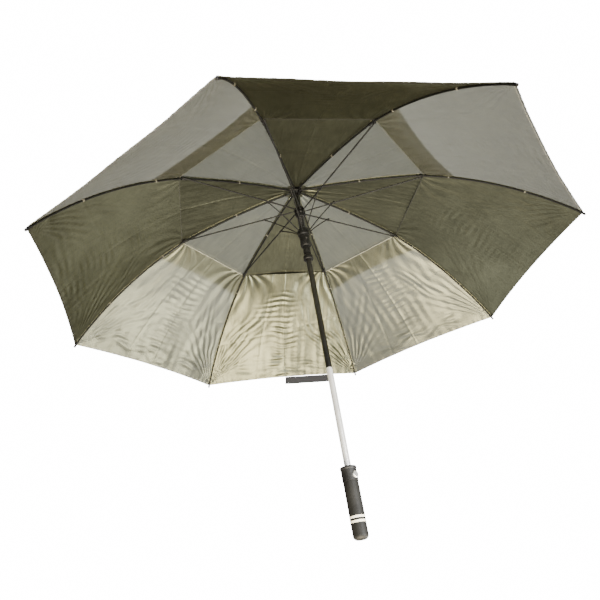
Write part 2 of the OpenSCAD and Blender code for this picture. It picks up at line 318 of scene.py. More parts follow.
def cloth_material(name, low, high, through, share, roughness, metallic, sheen=0.0):
    """Pongee: a fine plain weave with uneven dye or coating, which lets some light through."""
    material, tree, main, add = shader(name)
    place = add("ShaderNodeUVMap", uv_map="cloth")
    cloud = add("ShaderNodeTexNoise", Scale=9.0, Detail=5.0, Roughness=0.6)
    slub = add("ShaderNodeTexNoise", Scale=260.0, Detail=2.0)
    stretch = add("ShaderNodeMapping")
    stretch.inputs["Scale"].default_value = (1, 0.12, 1)
    warp = add("ShaderNodeTexWave", Scale=380.0, Distortion=0.6, bands_direction="X")
    weft = add("ShaderNodeTexWave", Scale=380.0, Distortion=0.6, bands_direction="Y")
    for node in (cloud, stretch, warp, weft):
        tree.links.new(place.outputs["UV"], node.inputs["Vector"])
    tree.links.new(stretch.outputs["Vector"], slub.inputs["Vector"])
    weave = add("ShaderNodeMath", operation="MULTIPLY")
    tree.links.new(warp.outputs["Fac"], weave.inputs[0])
    tree.links.new(weft.outputs["Fac"], weave.inputs[1])
    mottle = add("ShaderNodeMix", data_type="FLOAT")
    mottle.inputs["Factor"].default_value = 0.35
    tree.links.new(cloud.outputs["Fac"], mottle.inputs["A"])
    tree.links.new(slub.outputs["Fac"], mottle.inputs["B"])
    colour = ramp_between(tree, add, mottle.outputs["Result"], low, high)
    tree.links.new(colour, main.inputs["Base Color"])
    dull = add("ShaderNodeMapRange")
    dull.inputs["To Min"].default_value = roughness - 0.05
    dull.inputs["To Max"].default_value = roughness + 0.07
    tree.links.new(slub.outputs["Fac"], dull.inputs["Value"])
    tree.links.new(dull.outputs["Result"], main.inputs["Roughness"])
    main.inputs["Metallic"].default_value = metallic
    main.inputs["Specular Tint"].default_value = (0.45, 0.43, 0.36, 1)
    main.inputs["Sheen Weight"].default_value = sheen
    main.inputs["Sheen Roughness"].default_value = 0.4
    normal = add_bump(tree, add, main, slub.outputs["Fac"], 0.25, 0.0004)
    add_bump(tree, add, main, weave.outputs["Value"], 0.2, 0.00012, normal)
    glow = add("ShaderNodeBsdfTranslucent", Color=(*through, 1))
    mix = add("ShaderNodeMixShader", Fac=share)
    tree.links.new(main.outputs["BSDF"], mix.inputs[1])
    tree.links.new(glow.outputs["BSDF"], mix.inputs[2])
    tree.links.new(mix.outputs["Shader"], tree.nodes["Material Output"].inputs["Surface"])
    return material


def hard_material(name, low, high, roughness, metallic=0.0, grain=900.0, depth=0.00004, gloss=0.5,
                  scratch=0.0):
    """Moulded plastic, lacquered rod or metal: fine grain, uneven gloss, and scratches along the part."""
    material, tree, main, add = shader(name)
    place = add("ShaderNodeTexCoord")
    fine = add("ShaderNodeTexNoise", Scale=grain, Detail=3.0)
    broad = add("ShaderNodeTexNoise", Scale=35.0, Detail=4.0, Roughness=0.65)
    for node in (fine, broad):
        tree.links.new(place.outputs["Object"], node.inputs["Vector"])
    tree.links.new(ramp_between(tree, add, broad.outputs["Fac"], low, high), main.inputs["Base Color"])
    dull = add("ShaderNodeMapRange")
    dull.inputs["To Min"].default_value = max(0.05, roughness - 0.08)
    dull.inputs["To Max"].default_value = roughness + 0.1
    tree.links.new(broad.outputs["Fac"], dull.inputs["Value"])
    tree.links.new(dull.outputs["Result"], main.inputs["Roughness"])
    main.inputs["Metallic"].default_value = metallic
    main.inputs["Specular IOR Level"].default_value = gloss
    normal = add_bump(tree, add, main, fine.outputs["Fac"], 0.5, depth)
    if scratch:
        stretch = add("ShaderNodeMapping")
        stretch.inputs["Scale"].default_value = (900, 900, 14)
        lines = add("ShaderNodeTexNoise", Scale=1.0, Detail=2.0)
        tree.links.new(place.outputs["Object"], stretch.inputs["Vector"])
        tree.links.new(stretch.outputs["Vector"], lines.inputs["Vector"])
        add_bump(tree, add, main, lines.outputs["Fac"], scratch, 0.00003, normal)
    return material


def grip_material():
    """Dense foam rubber: fine closed cells over soft dents, worn a little paler in patches."""
    material, tree, main, add = shader("grip_foam")
    place = add("ShaderNodeTexCoord")
    cells = add("ShaderNodeTexVoronoi", Scale=900.0)
    dents = add("ShaderNodeTexNoise", Scale=110.0, Detail=6.0, Roughness=0.6)
    wear = add("ShaderNodeTexNoise", Scale=24.0, Detail=5.0, Roughness=0.6)
    for node in (cells, dents, wear):
        tree.links.new(place.outputs["Object"], node.inputs["Vector"])
    colour = ramp_between(tree, add, wear.outputs["Fac"], (0.007, 0.007, 0.0066), (0.014, 0.014, 0.013))
    tree.links.new(colour, main.inputs["Base Color"])
    main.inputs["Roughness"].default_value = 0.5
    main.inputs["Specular IOR Level"].default_value = 0.16
    normal = add_bump(tree, add, main, dents.outputs["Fac"], 0.35, 0.0004)
    add_bump(tree, add, main, cells.outputs["Distance"], 0.3, 0.00015, normal)
    return material


COATING = (0.072, 0.074, 0.051), (0.106, 0.109, 0.075)
COATED = {"roughness": 0.33, "metallic": 0.94}
PLAIN = {"metallic": 0.0, "sheen": 0.2}
LIGHT_THROUGH = (0.9, 0.9, 0.86)
DARK_UNDER = cloth_material("dark_cloth_underside", *COATING, (0.3, 0.28, 0.2), 0.04, **COATED)
DARK_OUTER = cloth_material("dark_cloth_outside", (0.018, 0.018, 0.019), (0.032, 0.032, 0.033),
                            (0.3, 0.27, 0.17), 0.04, 0.62, **PLAIN)
PALE_UNDER = cloth_material("pale_cloth_underside", *COATING, LIGHT_THROUGH, 0.22, **COATED)
PALE_OUTER = cloth_material("pale_cloth_outside", (0.56, 0.55, 0.5), (0.68, 0.67, 0.62),
                            LIGHT_THROUGH, 0.5, 0.6, **PLAIN)
DENSE_UNDER = cloth_material("vent_cloth_underside", *COATING, LIGHT_THROUGH, 0.125, **COATED)
STRAP_CLOTH = cloth_material("strap_cloth", (0.004, 0.005, 0.009), (0.008, 0.01, 0.016),
                             (0.02, 0.02, 0.03), 0.02, 0.7, 0.0, 0.05)
BLACK = (0.002, 0.002, 0.002), (0.004, 0.004, 0.004)
BLACK_ROD = hard_material("black_rod", *BLACK, 0.5, gloss=0.2, scratch=0.2)
BLACK_TUBE = hard_material("black_tube", *BLACK, 0.33, gloss=0.35, scratch=0.3)
SILVER_TUBE = hard_material("silver_tube", (0.7, 0.7, 0.69), (0.8, 0.8, 0.79), 0.3,
                            metallic=0.6, scratch=0.5)
BLACK_PLASTIC = hard_material("black_plastic", *BLACK, 0.5, depth=0.00008, gloss=0.2)
COLLAR_PLASTIC = hard_material("collar_plastic", (0.006, 0.006, 0.006), (0.012, 0.012, 0.0115), 0.46,
                               depth=0.00008, gloss=0.3)
SPRING_STEEL = hard_material("spring_steel", (0.035, 0.035, 0.037), (0.07, 0.07, 0.073), 0.38,
                             metallic=0.9)
PALE_RING = hard_material("pale_ring", (0.72, 0.67, 0.53), (0.82, 0.78, 0.64), 0.4)
BUTTON_METAL = hard_material("button_metal", (0.68, 0.69, 0.7), (0.78, 0.79, 0.8), 0.25, metallic=0.8)
THREAD = hard_material("pale_thread", (0.13, 0.125, 0.1), (0.19, 0.185, 0.15), 0.8, grain=4000.0)
DARK_THREAD = hard_material("dark_thread", (0.01, 0.01, 0.01), (0.02, 0.02, 0.019), 0.85, grain=4000.0)
# Painted shade: a dark copy of the pale panels' vent edge cord, used on the near panels 2 and 8.
EDGE_PAINTED_SHADE = hard_material("edge_painted_shade", (0.05, 0.05, 0.037), (0.08, 0.08, 0.06), 0.5, grain=3000.0)
# Pale thread for the pale panels' hem stitches, and also painted glow: a bright copy of the vent edge cord,
# used on panels 4 and 6.
PALE_THREAD_AND_PAINTED_GLOW = hard_material("pale_thread_and_painted_glow", (0.34, 0.33, 0.26), (0.42, 0.41, 0.33), 0.6, grain=3000.0)
GRIP_FOAM = grip_material()


# ---- cloth


def wobble(x, y, size, seed, terms=9):
    """Smooth noise between about -1 and 1, with features of about this size."""
    rng = np.random.default_rng(seed)
    total = 0
    for _ in range(terms):
        heading, phase = rng.uniform(0, 2 * math.pi, 2)
        pitch = size * rng.uniform(0.8, 1.7)
        total = total + np.cos((x * math.cos(heading) + y * math.sin(heading)) * 2 * math.pi / pitch + phase)
    return total / math.sqrt(terms)


def smooth(x, start, end):
    """0 before start, 1 after end, and a smooth rise between."""
    t = np.clip((x - start) / (end - start), 0, 1)
    return t * t * (3 - 2 * t)


def hump(x, width):
    """1 at x = 0, falling off smoothly over this width."""
    return np.exp(-((x / width) ** 2))


def waves(place, pitch, shift=0.0):
    """Even folds between -1 and 1, one to each pitch of length or angle."""
    return np.cos(place * 2 * math.pi / pitch + shift)


# How strongly each lower panel is folded, as far as the photo shows it.
FOLD_SHARE = {1: 0.5, 2: 0.45, 3: 0.38, 4: 0.88, 5: 1.1, 6: 0.82, 7: 0.35, 8: 0.45}
LOWER_LENGTH = OUTER_LENGTH * (LOWER_END - 1)
SEAM_FADE = 4 * MM  # folds die out this close to a seam


def corner_folds(k, length, y, half, side):
    """Folds of one half: a fan at the tip, swoops from the stretcher joint, and slanting pulls between."""
    seed = 10 * k + side
    edge = half - side * y
    hem = LOWER_LENGTH - length
    reach, turn = np.hypot(edge, hem), np.arctan2(edge, hem)
    warp = 0.35 * wobble(reach, turn * 0.1, 0.07, 300 + seed)
    spread = smooth(turn, 0.03, 0.14) * (1 - smooth(turn, 0.55, 1.15))
    size = 0.0016 * reach / 0.1 * np.exp(-((reach / 0.12) ** 1.5))
    fan = size * spread * waves(turn, 0.17, 3 * warp + seed)
    from_joint = length + 0.01
    reach = np.hypot(edge, from_joint)
    turn = np.arctan2(edge, from_joint) + reach / 0.35
    spread = smooth(turn, 0.15, 0.4) * (1 - smooth(turn, 1.2, 1.8))
    size = 0.0026 * reach / 0.08 * np.exp(-((reach / 0.085) ** 1.4))
    swoops = size * spread * waves(turn, 0.34, 0.4 * seed)
    slant = edge - 0.32 * hem + 0.02 * wobble(y, length, 0.2, 500 + seed)
    span = smooth(hem, 0.05, 0.16) * (1 - smooth(hem, 0.2, 0.32))
    pulls = 0.0005 * waves(slant, 0.024) * hump(slant - 0.01, 0.035) * span
    return fan + swoops + pulls


def middle_ripples(k, length, y):
    """Short ripples across the middle of a lower panel."""
    column = hump(y - 0.02 * wobble(length, 0, 0.12, 600 + k), 0.05) * smooth(length, 0.05, 0.12)
    drift = y / 0.25 + 1.1 * wobble(y, length * 0.6, 0.07, 700 + k)
    return 0.00085 * column * waves(length, 0.019, drift) * (0.6 + 0.4 * wobble(y, length, 0.06, 800 + k))


def packing_creases(length, y, half):
    """Sharp creases where the cloth was folded for its sleeve."""
    along_middle = 0.0005 * hump(y - 0.25 * half - 0.08 * length, 0.004) - 0.0006 * hump(y, 0.003)
    return along_middle - 0.0005 * hump(length - 0.55 * LOWER_LENGTH - 0.2 * y, 0.0045)


def hem_folds(k, length, y, half):
    """Folds that run along the hem, and the small puckers of its stitching."""
    hem = LOWER_LENGTH - length
    roll = 0.0014 * hump(hem - 0.03 - 0.1 * np.abs(y), 0.011) * wobble(y, 0, 0.09, 950 + k)
    drift = 1.8 * wobble(y, hem, 0.1, 960 + k)
    span = hump(hem - 0.055, 0.032) * smooth(half - np.abs(y), 0.03, 0.09)
    along = 0.0008 * waves(hem + 0.06 * np.abs(y), 0.024, drift) * span
    along = along * (0.6 + 0.4 * wobble(y, hem, 0.06, 970 + k))
    pucker = waves(y, 0.018, 2 * wobble(y, 0, 0.07, 900 + k))
    return roll + along + 0.0006 * pucker * hump(hem, 0.014)


def lower_relief(k, length, y, half):
    """How far the lower cloth stands off its smooth shape, in metres."""
    total = 0.0009 * wobble(y, length, 0.13, 100 + k) + 0.0003 * wobble(y, length * 0.15, 0.02, 200 + k)
    total = total + corner_folds(k, length, y, half, -1) + corner_folds(k, length, y, half, 1)
    total = total + middle_ripples(k, length, y) + packing_creases(length, y, half)
    total = total + hem_folds(k, length, y, half)
    return FOLD_SHARE[k] * total * (1 - np.exp(-(half - np.abs(y)) / SEAM_FADE))


def upper_relief(k, length, y, half):
    """The same for the upper cloth, which is pulled nearly smooth and gathered at the notch."""
    sag = 0.0008 * wobble(y, length, 0.15, 1100 + k)
    pulls = 0.00015 * wobble(y, length * 0.12, 0.016, 1200 + k)
    creases = -0.0005 * hump(y, 0.003) - 0.0004 * hump(length - 0.17 + 0.15 * y, 0.004)
    gather = np.cos(y / np.maximum(half, 0.004) * 9 + k) * hump(length - 0.02, 0.05)
    gather = 0.0007 * gather * smooth(half, 0.004, 0.02)
    column = hump(y, 0.02) * smooth(length, 0.08, 0.14)
    ripple = waves(length, 0.021, 1.4 * wobble(y, length, 0.05, 1300 + k))
    total = sag + pulls + creases + gather + 0.00015 * column * ripple
    return total * (1 - np.exp(-(half - np.abs(y)) / SEAM_FADE))


SEAM_GAP = 0.25 * MM
LAYERS = {
    "lower": {"start": LOWER_START, "end": LOWER_END, "lift": LOWER_LIFT, "bulge": -6 * MM,
              "scallop": 0.035, "relief": lower_relief},
    "upper": {"start": 0.02, "end": UPPER_END, "lift": UPPER_LIFT, "bulge": 6 * MM,
              "scallop": 0.03, "relief": upper_relief},
}
HEM_BAND = 8 * MM  # width of the hem's turned edge
LOWER_HEM_SHARE = HEM_BAND / LOWER_LENGTH
UPPER_HEM_SHARE = 0.1
HEM_ROWS = 6


def along_rib(s):
    """Length along a rib from the hinge to place s."""
    return np.where(s < 1, s * INNER_LENGTH, INNER_LENGTH + (s - 1) * OUTER_LENGTH)


def gore(k, layer, t, u, folded=True):
    """Points of the cloth between ribs k and k + 1. t runs from the shaft to the hem, u from rib to rib."""
    t, u = np.broadcast_arrays(np.asarray(t, float), np.asarray(u, float))
    spread = 4 * u * (1 - u)
    s = layer["start"] + (layer["end"] - layer["start"]) * t - layer["scallop"] * t**4 * spread
    x, z = rib_line(s, layer["lift"])
    half = x * math.sin(RIB_STEP / 2) - SEAM_GAP
    y = (2 * u - 1) * half
    out = x * math.cos(RIB_STEP / 2)
    middle = azimuth(k) + RIB_STEP / 2
    points = np.stack([
        out * math.cos(middle) - y * math.sin(middle),
        out * math.sin(middle) + y * math.cos(middle),
        z + layer["bulge"] * t * spread,
    ], -1)
    if folded:
        length = along_rib(s) - (INNER_LENGTH if layer is LAYERS["lower"] else 0)
        points += gore_normal(k, layer, t, u, False) * layer["relief"](k, length, y, half)[..., None]
    return points


def gore_normal(k, layer, t, u, folded=True):
    """Outward unit normals of the cloth."""
    step = 2e-4
    along = gore(k, layer, t + step, u, folded) - gore(k, layer, t - step, u, folded)
    over = gore(k, layer, t, u + step, folded) - gore(k, layer, t, u - step, folded)
    normal = np.cross(along, over)
    return normal / np.linalg.norm(normal, axis=-1, keepdims=True)


def rim_of_grid(rows, columns):
    """Numbers of a grid's outermost points, in order round it."""
    rim = list(range(columns)) + [i * columns + columns - 1 for i in range(1, rows)]
    rim += [(rows - 1) * columns + j for j in range(columns - 2, -1, -1)]
    return rim + [i * columns for i in range(rows - 2, 0, -1)]


def cloth_piece(name, k, layer, low, high, from_u, to_u, rows, columns, hem, materials):
    """A thin solid of cloth between two places down the gore and two across it.

    Also returns the area, the width at its lower edge and the length along its rib, in metres.
    """
    t = np.linspace(low, high, rows)
    if hem:
        band = LOWER_HEM_SHARE if low == 0 else UPPER_HEM_SHARE
        hem_rows = np.linspace(high - band, high, HEM_ROWS)
        t = np.concatenate([np.linspace(low, high - band * 1.15, rows), hem_rows])
    rows = len(t)
    v = np.concatenate([np.linspace(0, 0.965, columns - 3), [0.98, 0.99, 1]])
    u = from_u + (to_u - from_u) * v
    grid_t, grid_u = np.meshgrid(t, u, indexing="ij")
    middle = gore(k, layer, grid_t, grid_u)
    normal = gore_normal(k, layer, grid_t, grid_u)
    thick = np.full(grid_t.shape, CLOTH_T)
    if hem:
        to_hem = (high - grid_t) / band
        thick += (HEM_T - CLOTH_T) * (1 - smooth(to_hem, 0.9, 1.1))
    lift = normal * thick[..., None] / 2
    count = rows * columns
    verts = np.concatenate([(middle + lift).reshape(-1, 3), (middle - lift).reshape(-1, 3)])
    faces, sides = [], []
    facing = to_u > from_u
    for i in range(rows - 1):
        for j in range(columns - 1):
            a, b = i * columns + j, i * columns + j + 1
            quad = (a, a + columns, b + columns, b)
            faces.append(quad if facing else quad[::-1])
            sides.append(1)
            quad = tuple(q + count for q in quad)
            faces.append(quad[::-1] if facing else quad)
            sides.append(0)
    top_quads = len(faces)
    rim = rim_of_grid(rows, columns)
    for i, a in enumerate(rim):
        b = rim[(i + 1) % len(rim)]
        quad = (a, b, b + count, a + count)
        faces.append(quad if facing else quad[::-1])
        sides.append(0)
    obj = new_object(name, verts, faces, materials, sides)
    mesh = obj.data
    flat = np.concatenate([normal.reshape(-1, 3), -normal.reshape(-1, 3)])
    corners = np.empty(len(mesh.loops), int)
    mesh.loops.foreach_get("vertex_index", corners)
    normals = flat[corners]
    for polygon in mesh.polygons[top_quads:]:
        normals[polygon.loop_start:polygon.loop_start + polygon.loop_total] = polygon.normal
    mesh.normals_split_custom_set(normals.tolist())
    across = (2 * grid_u - 1) * np.linalg.norm(middle[..., :2], axis=-1) * math.sin(RIB_STEP / 2)
    length = along_rib(layer["start"] + (layer["end"] - layer["start"]) * grid_t)
    places = np.stack([across, length], -1).reshape(-1, 2)
    cloth_map = mesh.uv_layers.new(name="cloth")
    cloth_map.data.foreach_set("uv", places[corners % count].ravel())
    down, over = middle[1:, :-1] - middle[:-1, :-1], middle[:-1, 1:] - middle[:-1, :-1]
    area = np.linalg.norm(np.cross(down, over), axis=-1).sum()
    width = np.linalg.norm(middle[-1, 0] - middle[-1, -1])
    height = np.linalg.norm(middle[1:, 0] - middle[:-1, 0], axis=-1).sum()
    return obj, float(area), float(width), float(height)


def half_gores(k, layer_name, part, body, low, high, rows, columns, hem):
    """Both halves of one stretch of a gore: each rides the rib that it is sewn to."""
    layer = LAYERS[layer_name]
    pale = DENSE_UNDER if layer_name == "upper" else PALE_UNDER
    materials = [DARK_UNDER, DARK_OUTER] if k % 2 else [pale, PALE_OUTER]
    for half, rib, from_u, towards in (("a", k, 0, 1), ("b", k % 8 + 1, 1, -1)):
        name = f"{layer_name}_cloth_{k}_{part}{half}"
        obj, area, width, height = cloth_piece(
            name, k, layer, low, high, from_u, 0.5, rows, columns, hem, materials)
        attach(obj, f"{body}_{rib}")
        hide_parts(f"{layer_name}_panel_{k}")
        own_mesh(obj)


def fold_with_lower_cloth(obj, rib):
    """Rides the end of a rib and folds as the lower cloth sewn to it does."""
    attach(obj, f"rib_end_{rib}")
    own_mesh(obj)


EDGE_R = 0.55 * MM
# The pale panels' vent edge is one cord in two copies: bright on panels 4 and 6 as painted glow, and dark on
# panels 2 and 8 as painted shade.
VENT_EDGE_GLOW_AND_SHADE = {2: EDGE_PAINTED_SHADE, 4: PALE_THREAD_AND_PAINTED_GLOW, 6: PALE_THREAD_AND_PAINTED_GLOW, 8: EDGE_PAINTED_SHADE}


def vent_edge(k, from_u, rib):
    """The bound inner edge of the lower cloth, from a stretcher joint to mid gore."""
    u = from_u + (0.5 - from_u) * np.linspace(0.004, 1, 50)
    path = [Vector(p) for p in gore(k, LAYERS["lower"], 0 * u, u)]
    # Odd panels get dark thread. On the pale panels the cord's colour paints light or shade, depending on how
    # the panel faces the lights.
    material = DARK_THREAD if k % 2 else VENT_EDGE_GLOW_AND_SHADE[k]
    edge = join_parts(f"vent_edge_{k}_{rib}", [tube(path, EDGE_R, 8)], material)
    fold_with_lower_cloth(edge, rib)


UPPER_SPLIT = (1 - LAYERS["upper"]["start"]) / (UPPER_END - LAYERS["upper"]["start"])  # at the flex joint
for k in RIBS:
    half_gores(k, "lower", "", "rib_end", 0, 1, 92, 66, True)
    half_gores(k, "upper", "crown_", "rib", 0, UPPER_SPLIT, 60, 40, False)
    half_gores(k, "upper", "vent_", "rib_end", UPPER_SPLIT, 1, 16, 40, True)
    vent_edge(k, 0, k)
    vent_edge(k, 1, k % 8 + 1)


# ---- seams, stitches and ties


def beside_rib(k, layer, t, distance, lift=0.0):
    """Points and normals of the cloth at distances from rib k's seam, positive towards rib k + 1."""
    t, distance = np.broadcast_arrays(np.asarray(t, float), np.asarray(distance, float))
    x = rib_line(layer["start"] + (layer["end"] - layer["start"]) * t)[0]
    share = np.minimum(np.abs(distance) / (2 * x * math.sin(RIB_STEP / 2)), 0.5)
    ahead = (distance >= 0)[..., None]
    before = (k - 2) % 8 + 1
    points = np.where(ahead, gore(k, layer, t, share), gore(before, layer, t, 1 - share))
    normals = np.where(ahead, gore_normal(k, layer, t, share), gore_normal(before, layer, t, 1 - share))
    return points + normals * np.asarray(lift)[..., None], normals


WELT_HALF = 3.4 * MM
WELT_T = 0.5 * MM
WELT_OFFSETS = np.array([-1, -0.7, -0.2, 0.2, 0.7, 1]) * WELT_HALF
WELT_HEIGHTS = np.array([0.3, 1, 1.1, 1.1, 1, 0.3]) * WELT_T


def welt(name, k, layer, low, high, rows, side, body, material):
    """The folded seam allowance along a rib, on the cloth's outside (side 1) or underside (side -1)."""
    t = np.linspace(low, high, rows)[:, None]
    n = len(WELT_OFFSETS)
    across = WELT_OFFSETS[None]
    crown = beside_rib(k, layer, t, across, side * (CLOTH_T / 2 + WELT_HEIGHTS[None]) + 0 * t)[0]
    root = beside_rib(k, layer, t, across[:, ::-1], side * CLOTH_T * 0.4 + 0 * t * across)[0]
    verts = np.concatenate([crown, root], 1).reshape(-1, 3)
    faces = []
    for i in range(rows - 1):
        for j in range(2 * n):
            a, b = i * 2 * n + j, i * 2 * n + (j + 1) % (2 * n)
            faces.append((a, b, b + 2 * n, a + 2 * n)[::side])
    faces.append(tuple(range(2 * n))[::-side])
    faces.append(tuple(range((rows - 1) * 2 * n, rows * 2 * n))[::side])
    obj = new_object(name, verts, faces, [material])
    corners = np.empty(len(obj.data.loops), int)
    obj.data.loops.foreach_get("vertex_index", corners)
    places = np.stack([np.linalg.norm(verts[:, :2], axis=1), verts[:, 2]], -1)
    obj.data.uv_layers.new(name="cloth").data.foreach_set("uv", places[corners].ravel())
    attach(obj, body)
    return obj


STITCH_PITCH = 4.2 * MM
HALF_HEM = 240 * MM  # from a tip to mid gore, along the hem


def stitch(point, normal, other, length, lift=0.0):
    """One stitch of thread on the cloth, heading from a point towards another."""
    heading = Vector(other - point).normalized()
    up = Vector(normal)
    m = Matrix((heading, up.cross(heading), up)).transposed().to_4x4()
    m.translation = Vector(point) + up * lift
    return placed(slab(length, 0.5 * MM, 0.35 * MM), m)


def seam_stitches(k, layer, low, high, side):
    """Two rows of stitches beside rib k."""
    span = (high - low) * (layer["end"] - layer["start"])
    count = int(span * (OUTER_LENGTH if layer is LAYERS["lower"] else INNER_LENGTH) / STITCH_PITCH)
    t = low + (high - low) * (np.arange(count)[:, None] + 0.5) / count
    off = np.array([[-0.7, 0.7]]) * WELT_HALF
    lift = side * (CLOTH_T / 2 + WELT_T) + 0 * t * off
    points, normals = beside_rib(k, layer, t, off, lift)
    ahead = beside_rib(k, layer, t + 1e-3, off, lift)[0]
    spots = zip(*(a.reshape(-1, 3) for a in (points, normals * side, ahead)))
    return [stitch(point, normal, other, 2.2 * MM) for point, normal, other in spots]


def hem_stitches(k, from_u, rib):
    """The row of stitches that holds the hem's turned edge, from a tip to mid gore."""
    lower = LAYERS["lower"]
    t = 1 - 0.8 * LOWER_HEM_SHARE
    count = int(HALF_HEM / STITCH_PITCH)
    u = from_u + (0.5 - from_u) * (np.arange(count) + 0.5) / count
    points, normals = gore(k, lower, t, u), gore_normal(k, lower, t, u)
    ahead = gore(k, lower, t, u + 1e-3)
    lift = HEM_T / 2 + 0.05 * MM
    parts = [stitch(point, normal, other, 2.4 * MM, side * lift)
             for point, normal, other in zip(points, normals, ahead) for side in (-1, 1)]
    row = join_parts(f"hem_stitches_{k}_{rib}", parts, DARK_THREAD if k % 2 else PALE_THREAD_AND_PAINTED_GLOW)
    fold_with_lower_cloth(row, rib)


def thread_tie(k, s, turns=4):
    """Thread that ties the cloth to a rib, wound round both."""
    path = []
    steps = 20 * turns
    lift = LOWER_LIFT if s > 1 else UPPER_LIFT
    for i in range(steps + 1):
        a = 2 * math.pi * i / 20
        m = rib_frame(k, s, lift / 2 - 0.2 * MM)
        along = (i / steps - 0.5) * 0.9 * MM * turns
        path.append(m @ Vector((along, 2.45 * MM * math.cos(a), (lift / 2 + 1.9 * MM) * math.sin(a))))
    tail = rib_frame(k, s, lift / 2)
    path += [tail @ Vector((3.5 * MM, 4 * MM, 0)), tail @ Vector((6 * MM, 5 * MM, -1 * MM))]
    return tube(path, 0.3 * MM, 6)


lower, upper = LAYERS["lower"], LAYERS["upper"]
for k in RIBS:
    outer = DARK_OUTER if k % 2 else PALE_OUTER
    welt(f"lower_welt_in_{k}", k, lower, 0.01, 0.985, 60, -1, f"rib_end_{k}", DARK_UNDER)
    welt(f"lower_welt_out_{k}", k, lower, 0.01, 0.985, 60, 1, f"rib_end_{k}", outer)
    welt(f"upper_welt_in_{k}", k, upper, 0.03, UPPER_SPLIT - 0.002, 40, -1, f"rib_{k}", DARK_UNDER)
    welt(f"upper_welt_out_{k}", k, upper, 0.03, UPPER_SPLIT - 0.002, 40, 1, f"rib_{k}", outer)
    welt(f"vent_welt_out_{k}", k, upper, UPPER_SPLIT + 0.002, 0.99, 14, 1, f"rib_end_{k}", outer)
    lower_rows = seam_stitches(k, lower, 0.02, 0.98, 1)
    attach(join_parts(f"lower_stitches_{k}", lower_rows, DARK_THREAD), f"rib_end_{k}")
    upper_rows = seam_stitches(k, upper, 0.04, UPPER_SPLIT, 1)
    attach(join_parts(f"upper_stitches_{k}", upper_rows, DARK_THREAD), f"rib_{k}")
    ties = join_parts(f"outer_ties_{k}", [thread_tie(k, 1.17), thread_tie(k, 1.64)], THREAD)
    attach(ties, f"rib_end_{k}")
    tie = join_parts(f"inner_tie_{k}", [thread_tie(k, 0.5)], THREAD)
    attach(tie, f"rib_{k}")
    hem_stitches(k, 0, k)
    hem_stitches(k, 1, k % 8 + 1)


# ---- rib tips, rivets and clips


def rivet(radius, height):
    """A low domed rivet head, standing on Z = 0."""
    outline = [(radius, 0), (radius, height * 0.35), (radius * 0.8, height * 0.8), (0, height)]
    return lathe(outline, 20)


def cross_matrix(k, point, y, facing=1):
    """Matrix at a point of rib k's plane, at sideways place y, with Z across the plane."""
    across = across_from(k) * facing
    out = out_from(k)
    m = Matrix((out, across.cross(out), across)).transposed().to_4x4()
    m.translation = out * point[0] + across_from(k) * y + Vector((0, 0, point[1]))
    return m


# Radius, and place along the rib from its end, in millimetres.
CAP_OUTLINE = [(0, -15.5), (2.1, -15.5), (2.55, -14.6), (2.55, -12.8), (2.25, -12.2), (2.3, -7), (2.75, -3.2),
               (3.05, -1.6), (3.1, 0), (2.75, 1.7), (1.7, 2.7), (0, 3.02)]


def tip_cap(k):
    """The plastic cap on a rib's end, with the slotted ear that the cloth's corner is sewn to."""
    run = 1 / OUTER_LENGTH
    points, faces = lathe([(r * MM, z * MM) for r, z in CAP_OUTLINE], 28)
    moved = []
    for p in points:
        s = 2 + min(p.z, 0) * run
        m = rib_frame(k, s)
        moved.append(m @ Vector((max(p.z, 0), p.x, p.y)))
    parts = [(moved, faces)]
    for y in (-1, 1):
        ear = [rib_frame(k, 2 - 9 * MM * run) @ Vector((x * MM, y * 1.1 * MM, z * MM))
               for x, z in ((-2.2, 1.6), (-1.8, 3.4), (0, 4.3), (1.8, 3.4), (2.2, 1.6))]
        parts.append(tube(ear, 0.55 * MM, 8))
    return parts


def collar_ring(k, s, radius, length):
    """A short sleeve crimped round a rib."""
    half = length / 2
    outline = [(radius - 0.5 * MM, -half), (radius, -half + 0.4 * MM), (radius, half - 0.4 * MM),
               (radius - 0.5 * MM, half)]
    points, faces = lathe(outline, 24)
    m = rib_frame(k, s)
    return [m @ Vector((p.z, p.x, p.y)) for p in points], faces


RUNNER_PIN = profile_point("stretcher_hinge_1")
CLIP_Y = 7 * MM  # the stretcher's outer face, sideways from its rib's plane
PIN_Y = 7.3 * MM
STRUT_FACE_Y = -0.3 * MM
STRUT_AT = 82 * MM  # where the strut's joint is, along the stretcher


def on_stretcher(distance):
    """Point of a rib's plane on the line of the stretcher."""
    full = math.dist(RUNNER_PIN, RIB_JOINT)
    share = distance / full
    return (RUNNER_PIN[0] + (RIB_JOINT[0] - RUNNER_PIN[0]) * share,
            RUNNER_PIN[1] + (RIB_JOINT[1] - RUNNER_PIN[1]) * share)


def metal(name, body, k, parts):
    """Small black metal parts of rib k, joined into one piece that rides a body."""
    piece = sharpen(join_parts(f"{name}_{k}", parts, BLACK_ROD))
    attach(piece, f"{body}_{k}")


